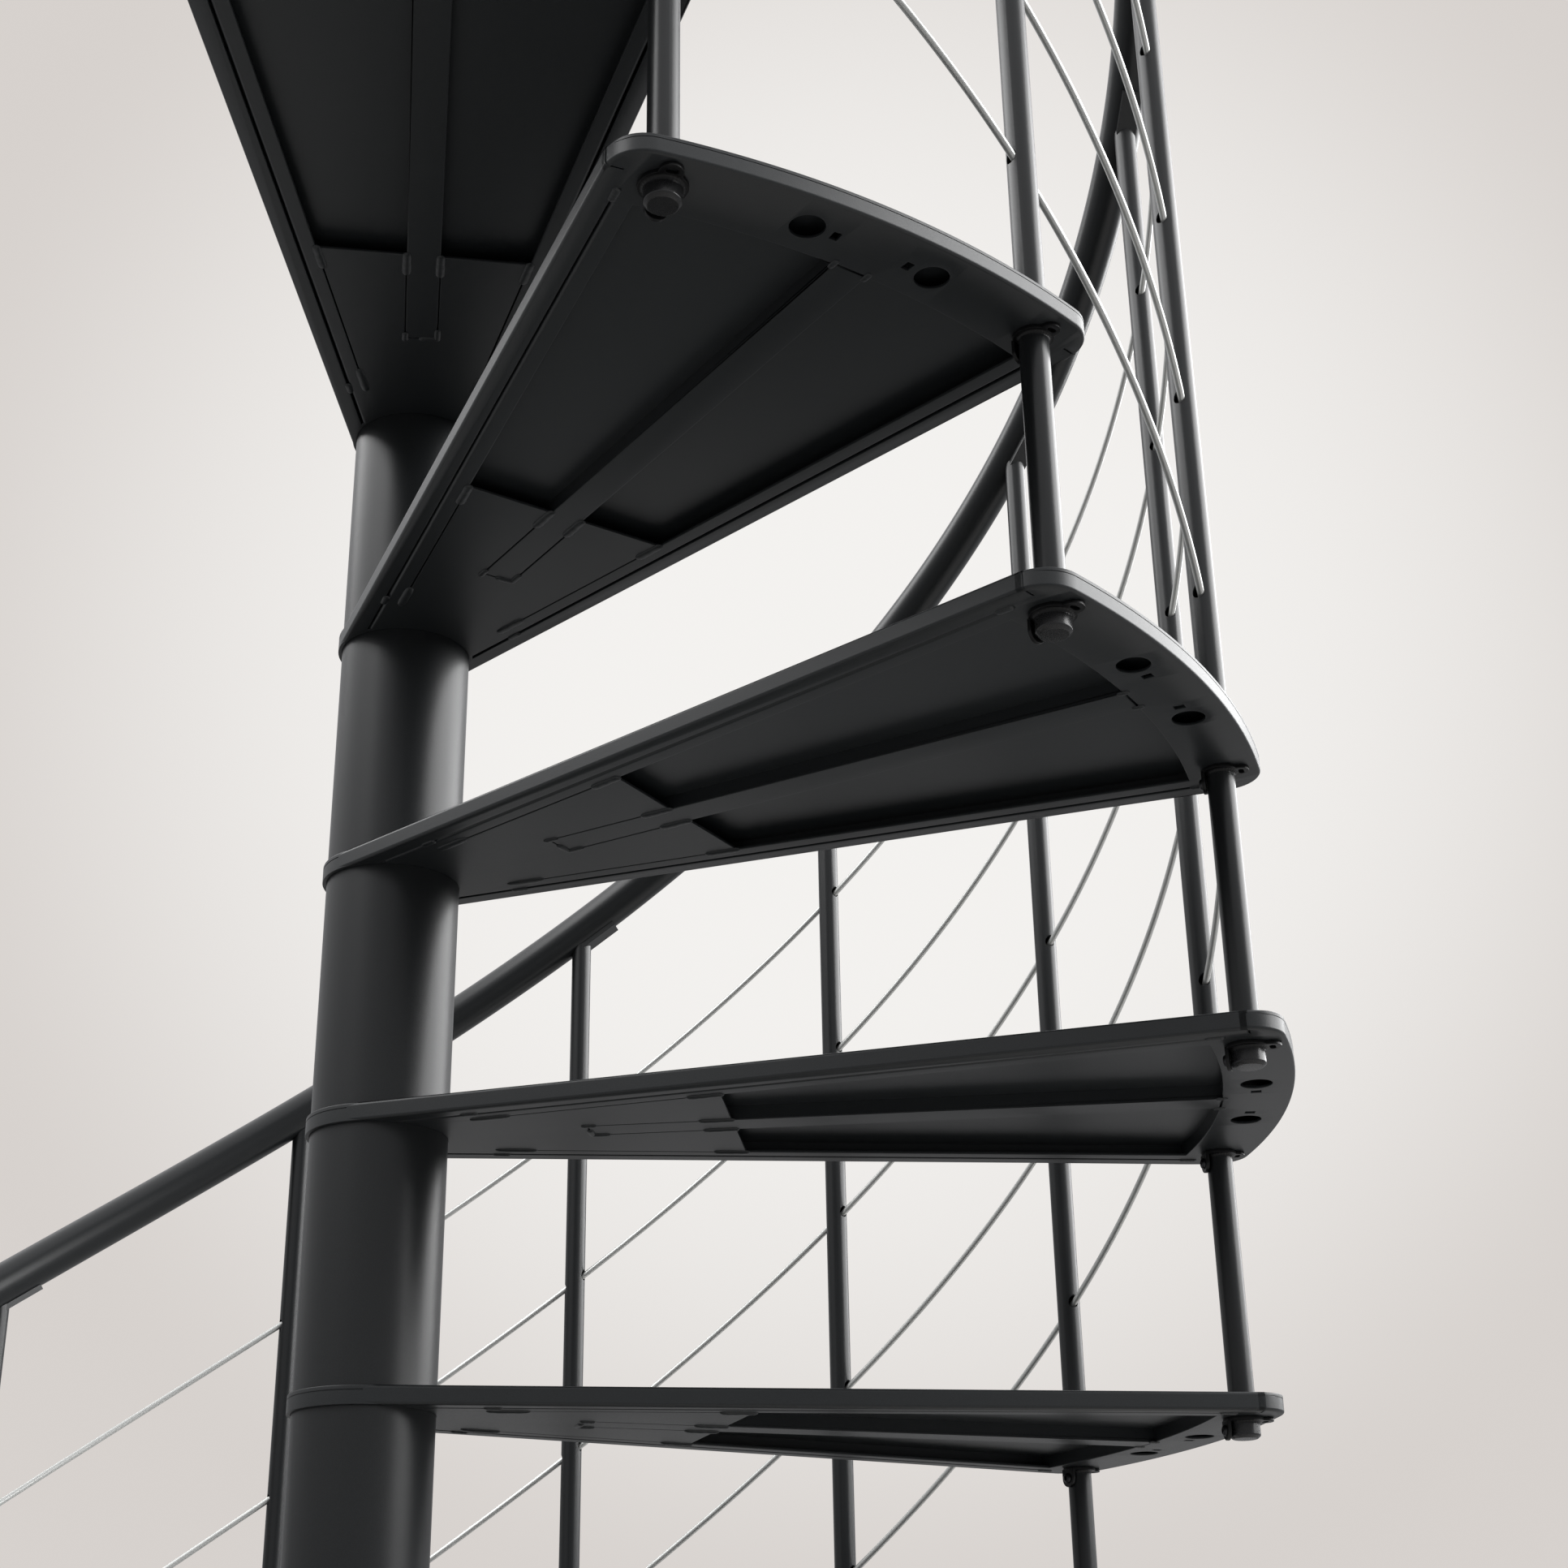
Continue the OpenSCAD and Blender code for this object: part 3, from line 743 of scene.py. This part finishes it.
rail = {
    "radius": 21.2,
    "height": 1220,          # centre above the walking line
    "overhang": 0.3,         # past the end posts, in treads
    "endRound": 3,           # rounding of the plugged ends
    "stations": 1201,
    "sides": 48,
}
rodBar = {
    "radius": 3,
    "first": 245,            # centre of the lowest rod above the walking line
    "spacing": 185,
    "overhang": 0.06,
    "endRound": 1.2,
    "stations": 601,
    "sides": 16,
}


def helixBar(height, bar):
    # A round bar on the helix: centre at (c cos t, c sin t, rise (s + 1/2) + height), where t turns
    # by one tread for each step s; the section is r (cos f outwards + sin f square to the bar), and
    # r shrinks over a quarter circle at both ends, then to the centre
    c, turn, slope, sides = stair["postCircle"], stair["turn"], stair["slope"], bar["sides"]
    first, last = -bar["overhang"], stair["count"] + bar["overhang"]
    length = hypot(c * turn, stair["rise"])
    q = np.linspace(0, pi / 2, 6)
    ease = bar["endRound"] * (1 - np.cos(q)) / length
    shrink = bar["endRound"] * (1 - np.sin(q))
    straight = np.linspace(first + ease[-1], last - ease[-1], bar["stations"])[1:-1]
    s = np.concatenate([[first], first + ease, straight, last - ease[::-1], [last]])
    less = np.concatenate([[bar["radius"]], shrink, straight * 0, shrink[::-1], [bar["radius"]]])
    r = bar["radius"] - less
    t = stair["firstPostTurn"] - s * turn
    centre = np.stack([c * np.cos(t), c * np.sin(t), stair["rise"] * (s + 0.5) + height], -1)
    out = np.stack([np.cos(t), np.sin(t), 0 * t], -1)
    up = np.stack([
        -np.sin(t) * np.sin(slope), np.cos(t) * np.sin(slope), np.full(len(t), np.cos(slope))], -1)
    f = np.arange(sides) * 2 * pi / sides
    ring = np.cos(f)[None, :, None] * out[:, None] + np.sin(f)[None, :, None] * up[:, None]
    shape = surface(centre[:, None] + r[:, None, None] * ring, closedColumns=True)
    # unrolled in metres: u along the bar, v round it
    row, column = np.divmod(np.arange((len(s) - 1) * sides), sides)
    u = np.stack([s[row], s[row], s[row + 1], s[row + 1]], -1) * length * mm
    v = np.stack([column, column + 1, column + 1, column], -1) * 2 * pi * bar["radius"] * mm / sides
    return shape, np.stack([u, v], -1)


# Post brackets

def filletRing(radius, height, leg, ripples):
    # Weld round a tube: the hollow quarter circle (radius + leg (1 - sin q), height + leg (1 - cos q))
    # swept round Z, its leg swelling with the ripples; its back lies just inside the tube
    a = np.arange(360) * 2 * pi / 360
    q = np.linspace(0, pi / 2, 7)[:, None]
    swell = leg * (1 + 0.06 * np.cos(a * ripples) + 0.04 * np.sin(5 * a + 1))
    back = 0 * a[None] + radius - 0.5
    r = np.concatenate([back, radius + swell * (1 - np.sin(q)), back])
    z = height + np.concatenate([0 * back, swell * (1 - np.cos(q)), 0 * back + leg * 1.1])
    points = np.stack([r * np.cos(a), r * np.sin(a), z], -1)
    return surface(points, closedRows=True, closedColumns=True)


bracketPart = {
    "thick": 3, "ledge": 4, "clear": 0.25, "lugWide": 16, "lugDrop": 18, "rounding": 0.5, "weld": 2.6}
postPart = {"radius": 11, "capRadius": 13, "drop": 12, "capWall": 5}


def bracketShapes(aroundRadius):
    # Plate below the tread with a tab outwards, and a lug down the post's inner side; +X is outwards
    b = bracketPart
    plateRadius, hole = aroundRadius + b["ledge"], postPart["radius"] + b["clear"]
    tipRadius = plateRadius / 2
    meet = np.arcsin(tipRadius / plateRadius)
    tab = arcPoints((plateRadius, 0), tipRadius, -pi / 2, pi / 2, 15)
    rim = arcPoints((0, 0), plateRadius, meet, 2 * pi - meet, 41)
    circle = arcPoints((0, 0), hole, 0, 2 * pi, 41)[:-1]
    slotX, slotR = plateRadius + tipRadius * 0.18, tipRadius * 0.26
    slot = np.concatenate([
        arcPoints((slotX, slotR), slotR, 0, pi, 9), arcPoints((slotX, -slotR), slotR, pi, 2 * pi, 9)])
    plate = flatPlate([np.concatenate([tab, rim]), circle, slot], -b["thick"], 0, b["rounding"])

    half, drop, x = b["lugWide"] / 2, b["lugDrop"], aroundRadius + b["clear"]
    foot = arcPoints((0, half - drop), half, pi, 2 * pi, 21)
    outline = np.concatenate([[(half, -b["thick"] / 2), (-half, -b["thick"] / 2)], foot])
    points, faces = flatPlate([outline], 0, b["thick"], b["rounding"])
    lug = np.stack([-x - b["thick"] + points[:, 2], points[:, 0], points[:, 1]], -1), faces
    screw = facing(screwHead(4.6, 2.6), (-1, 0, 0), (-x - b["thick"], 0, half - drop))
    points, faces = filletRing(aroundRadius, 0, b["weld"], 30)
    weld = points * (1, 1, -1) - (0, 0, b["thick"]), faces[:, ::-1]
    return [plate, lug, weld], [screw]


def endCapShape():
    # Sleeve over a post's lower end, with a chamfered rim below: a lathe profile
    r, wall, rim = postPart["capRadius"], postPart["capWall"], bracketPart["thick"] + 0.3
    low, inner = -postPart["drop"] - wall, postPart["radius"] + bracketPart["clear"]
    chamfer = wall / 2
    return lathe([
        (0, low), (r - chamfer - 0.6, low), (r - chamfer + 0.1, low + 0.25), (r - 0.35, low + chamfer - 0.5),
        (r - 0.05, low + chamfer + 0.2), (r, low + chamfer + 0.8), (r, -rim - 0.5), (r - 0.15, -rim - 0.15),
        (r - 0.5, -rim), (inner, -rim), (inner, low + wall), (0, low + wall)], sides=96)


def belowTreads(shapes, offset):
    # The shapes under every tread, at the post of the tread's own number plus the offset
    placed = []
    for i in range(1, stair["count"] + 1):
        t = postTurn(i + offset)
        place = (stair["postCircle"] * np.cos(t), stair["postCircle"] * np.sin(t), treadUnder(i))
        placed += [moved(shape, t, place) for shape in shapes]
    return placed


# Base plate's anchors, and the weld at the column's foot

basePart = {
    "anchors": 6,
    "circle": 120,           # radius of the anchors' circle
    "plate": 12,             # thickness of the base plate
    "washer": (12, 2.5),     # radius and height, as for the nut and the stud
    "nut": (11, 10),
    "stud": (6, 24),
    "weld": 5,
}


def hexagonNut(acrossCorners, height, low):
    # Six sides whose corners are turned down at top and bottom: r(a) = flat / cos(a in each sixth),
    # limited to the chamfer's circle
    a = np.arange(72) * 2 * pi / 72
    six = (a + pi / 6) % (pi / 3) - pi / 6
    side = acrossCorners * np.cos(pi / 6) / np.cos(six)
    chamfer = np.minimum(side, acrossCorners * 0.93)
    lift = (side - chamfer) * 0.5
    rings = [(0 * a, 0 * a), (chamfer * 0.98, 0 * a), (side, lift + 0.3), (side, height - lift - 0.3),
             (chamfer * 0.98, height + 0 * a), (0 * a, height + 0 * a)]
    points = np.array([np.stack([r * np.cos(a), r * np.sin(a), low + h], -1) for r, h in rings])
    return surface(points, closedColumns=True)


def anchorShapes():
    # Washer, nut and threaded stud: the thread is a lathe profile of 60 degree ridges
    b = basePart
    low = b["plate"]
    washerR, washerH = b["washer"]
    washer = lathe([
        (0, low), (washerR, low), (washerR, low + washerH - 0.4), (washerR - 0.4, low + washerH),
        (0, low + washerH)], sides=48)
    nut = hexagonNut(*b["nut"], low + washerH)
    r, length = b["stud"]
    start = low + washerH + b["nut"][1]
    ridges = np.arange(start, low + length, 0.875)
    stud = lathe([(0, start)] + [(r - 0.5 * (k % 2), z) for k, z in enumerate(ridges)] + [
        (r - 1, low + length + 0.6), (0, low + length + 0.6)], sides=32)
    return [washer, nut, stud]


# Pieces put together

treadShapes = [panSkin(), hubRing(), lowerPlate(), *webs(), *treadBeads()]
for i, node in enumerate(treadNodes, 1):
    placed = [moved(shape, treadTurn(i), (0, 0, treadUnder(i))) for shape in treadShapes]
    makePiece(f"foldedTread{i:02d}", placed, treadCoat, [node])
print("treads folded")

postBracket, postScrew = bracketShapes(postPart["radius"])
capBracket, capScrew = bracketShapes(postPart["capRadius"])
brackets = belowTreads(postBracket, 0) + belowTreads(capBracket, 1)
makePiece("roundedBrackets", brackets, bracketBlack, ["post_brackets"])
screws = belowTreads(postScrew, 0) + belowTreads(capScrew, 1)
makePiece("bracketScrews", screws, screwSteel)
caps = belowTreads([endCapShape()], 1)
makePiece("roundedEndCaps", caps, capNylon, ["post_end_caps"], sharpTurn=50)
print("brackets and caps set:", len(screws), "brackets,", len(caps), "caps")

railShape = helixBar(rail["height"], rail)[0]
makePiece("smoothHandrail", [railShape], railingCoatPaintedShade, ["handrail"])
for k, node in enumerate(rodNodes):
    shape, unrolled = helixBar(rodBar["first"] + k * rodBar["spacing"], rodBar)
    makePiece(f"drawnRod{k + 1}", [shape], drawnSteelPaintedReflection, [node], uv=unrolled)
print("handrail and rods bent")

anchors = []
for k in range(basePart["anchors"]):
    a = k * 2 * pi / basePart["anchors"]
    place = (basePart["circle"] * np.cos(a), basePart["circle"] * np.sin(a), 0)
    anchors += [moved(shape, a, place) for shape in anchorShapes()]
makePiece("floorAnchors", anchors, anchorSteel)
footWeld = filletRing(stair["columnRadius"], basePart["plate"], basePart["weld"], 90)
makePiece("columnFootWeld", [footWeld], columnCoatPaintedShade)

# CAD parts kept, in the darker coats that carry painted shade
kept = {"base_plate": columnCoatPaintedShade, "column": columnCoatPaintedShade, "column_cap": columnCoatPaintedShade,
        "post_foot": railingCoatPaintedShade, "rail_saddles": railingCoatPaintedShade, **dict.fromkeys(postNodes, railingCoatPaintedShade)}
for node, finish in kept.items():
    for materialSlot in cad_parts[node].material_slots:
        materialSlot.material = finish


# Floor, light and camera

studio = {
    "edgeColour": (0.677, 0.640, 0.614),     # backdrop away from its middle
    "middleColour": (0.900, 0.885, 0.866),
    "middle": (0, 0.9, 0.44),                # direction of the backdrop's brightest place
    "spread": 0.92,                          # cosine at which the edge colour is reached
    "room": (0.68, 0.68, 0.69),              # what the object mirrors
    # the room's strength by the sine of the height it is seen at
    "mirrored": ((-1, 0.1), (-0.7, 0.1), (-0.52, 0.4), (-0.36, 0.72), (-0.22, 0.5), (0.02, 0.55),
                 (0.17, 0.65), (0.4, 0.95), (0.6, 1.4), (1, 1.6)),
    "ambient": 0.22,                         # its strength in lighting the object
    "floor": (0.45, 0.44, 0.43),
    "floorRadius": 4.5,
}
lamps = {
    # place, target, width, height in metres, watts
    "windowRight": ((5.9, 1.2, 4.95), (0.2, 0, 2.0), 9.4, 4.5, 800),
    "skylightLeft": ((-4.0, -0.75, 6.45), (0.2, 0, 2.2), 8.0, 2.2, 220),
}


def makeFloor():
    # A wide disc under the base, unseen from below
    material, tree, shader = newMaterial("paleFloor")
    shader.inputs["Base Color"].default_value = (*studio["floor"], 1)
    shader.inputs["Roughness"].default_value = 0.8
    below = addNode(tree, "NewGeometry").outputs["Backfacing"]
    place = addNode(tree, "TexCoord").outputs["Object"]
    far = addNode(tree, "VectorMath", {0: place}, operation="LENGTH").outputs["Value"]
    fade = addNode(tree, "MapRange", {"Value": far, "From Min": studio["floorRadius"] * 0.55,
                                      "From Max": studio["floorRadius"]}, interpolation_type="SMOOTHSTEP")
    clear = addNode(tree, "BsdfTransparent").outputs[0]
    hidden = maths(tree, "MAXIMUM", below, fade.outputs[0])
    shown = addNode(tree, "MixShader", {0: hidden, 1: shader.outputs[0], 2: clear})
    tree.links.new(shown.outputs[0], tree.nodes["Material Output"].inputs["Surface"])
    a = np.arange(96) * 2 * pi / 96
    r = np.array([0, studio["floorRadius"]])[:, None]
    points, faces = surface(np.stack([r * np.cos(a), r * np.sin(a), 0 * r * a], -1), closedColumns=True)
    mesh = bpy.data.meshes.new("floor")
    mesh.from_pydata(points.tolist(), [], faces[:, ::-1].tolist())
    mesh.materials.append(material)
    floor = bpy.data.objects.new("floor", mesh)
    bpy.context.scene.collection.objects.link(floor)


def makeLamp(name, place, target, width, height, watts):
    light = bpy.data.lights.new(name, "AREA")
    light.shape, light.size, light.size_y, light.energy = "RECTANGLE", width, height, watts
    lamp = bpy.data.objects.new(name, light)
    bpy.context.scene.collection.objects.link(lamp)
    toward = Vector(target) - Vector(place)
    lamp.matrix_world = Matrix.Translation(place) @ toward.to_track_quat("-Z", "Y").to_matrix().to_4x4()


def makeBackdrop():
    # Off-white all round, brighter towards the middle. What the object mirrors is a neutral room that
    # brightens upwards, and it lights the object at a lower strength
    world = bpy.data.worlds.new("paleRoom")
    world.use_nodes = True
    tree = world.node_tree
    background = tree.nodes["Background"]
    seen = addNode(tree, "LightPath").outputs
    direction = addNode(tree, "TexCoord").outputs["Generated"]
    upward = addNode(tree, "SeparateXYZ", {0: direction}).outputs["Z"]
    height = addNode(tree, "MapRange", {"Value": upward, "From Min": -1, "From Max": 1}).outputs[0]
    brightest = max(strength for _, strength in studio["mirrored"])
    levels = [((sine + 1) / 2, [strength / brightest] * 3) for sine, strength in studio["mirrored"]]
    glossy = maths(tree, "MULTIPLY", toneRamp(tree, height, levels), brightest)
    through = maths(tree, "MAXIMUM", seen["Is Glossy Ray"], seen["Is Transmission Ray"])
    lighting = addNode(
        tree, "Mix", {0: through, 2: studio["ambient"], 3: glossy}, data_type="FLOAT").outputs[0]
    strength = addNode(
        tree, "Mix", {0: seen["Is Camera Ray"], 2: lighting, 3: 1.0}, data_type="FLOAT").outputs[0]
    middle = Vector(studio["middle"]).normalized()
    near = addNode(
        tree, "VectorMath", {0: direction, 1: middle}, operation="DOT_PRODUCT").outputs["Value"]
    glow = addNode(tree, "MapRange", {"Value": near, "From Min": studio["spread"], "From Max": 1.0},
                   interpolation_type="SMOOTHSTEP").outputs[0]
    edge, centre = (*studio["edgeColour"], 1), (*studio["middleColour"], 1)
    backdrop = addNode(tree, "Mix", {0: glow, 6: edge, 7: centre}, data_type="RGBA").outputs[2]
    colour = addNode(tree, "Mix", {
        0: seen["Is Camera Ray"], 6: (*studio["room"], 1), 7: backdrop}, data_type="RGBA").outputs[2]
    tree.links.new(colour, background.inputs["Color"])
    tree.links.new(strength, background.inputs["Strength"])
    bpy.context.scene.world = world


cameraPlace = {
    "place": (0.3896, -1.8872, 1.4916),
    "heading": 1.425, "upward": 23.792, "tilt": -0.982,      # degrees
    "lens": 53.57,
}


def makeCamera():
    camera = bpy.data.cameras.new("camera")
    camera.lens, camera.sensor_width, camera.clip_end = cameraPlace["lens"], 36, 200
    holder = bpy.data.objects.new("camera", camera)
    bpy.context.scene.collection.objects.link(holder)
    turns = (("heading", 0, "Z"), ("upward", 90, "X"), ("tilt", 0, "Z"))
    pose = Matrix.Translation(cameraPlace["place"])
    for key, base, axis in turns:
        pose = pose @ Matrix.Rotation(radians(cameraPlace[key] + base), 4, axis)
    holder.matrix_world = pose
    bpy.context.scene.camera = holder


makeFloor()
makeBackdrop()
for name, settings in lamps.items():
    makeLamp(name, *settings)
makeCamera()
bpy.context.scene.view_settings.view_transform = "Standard"
print("studio set")
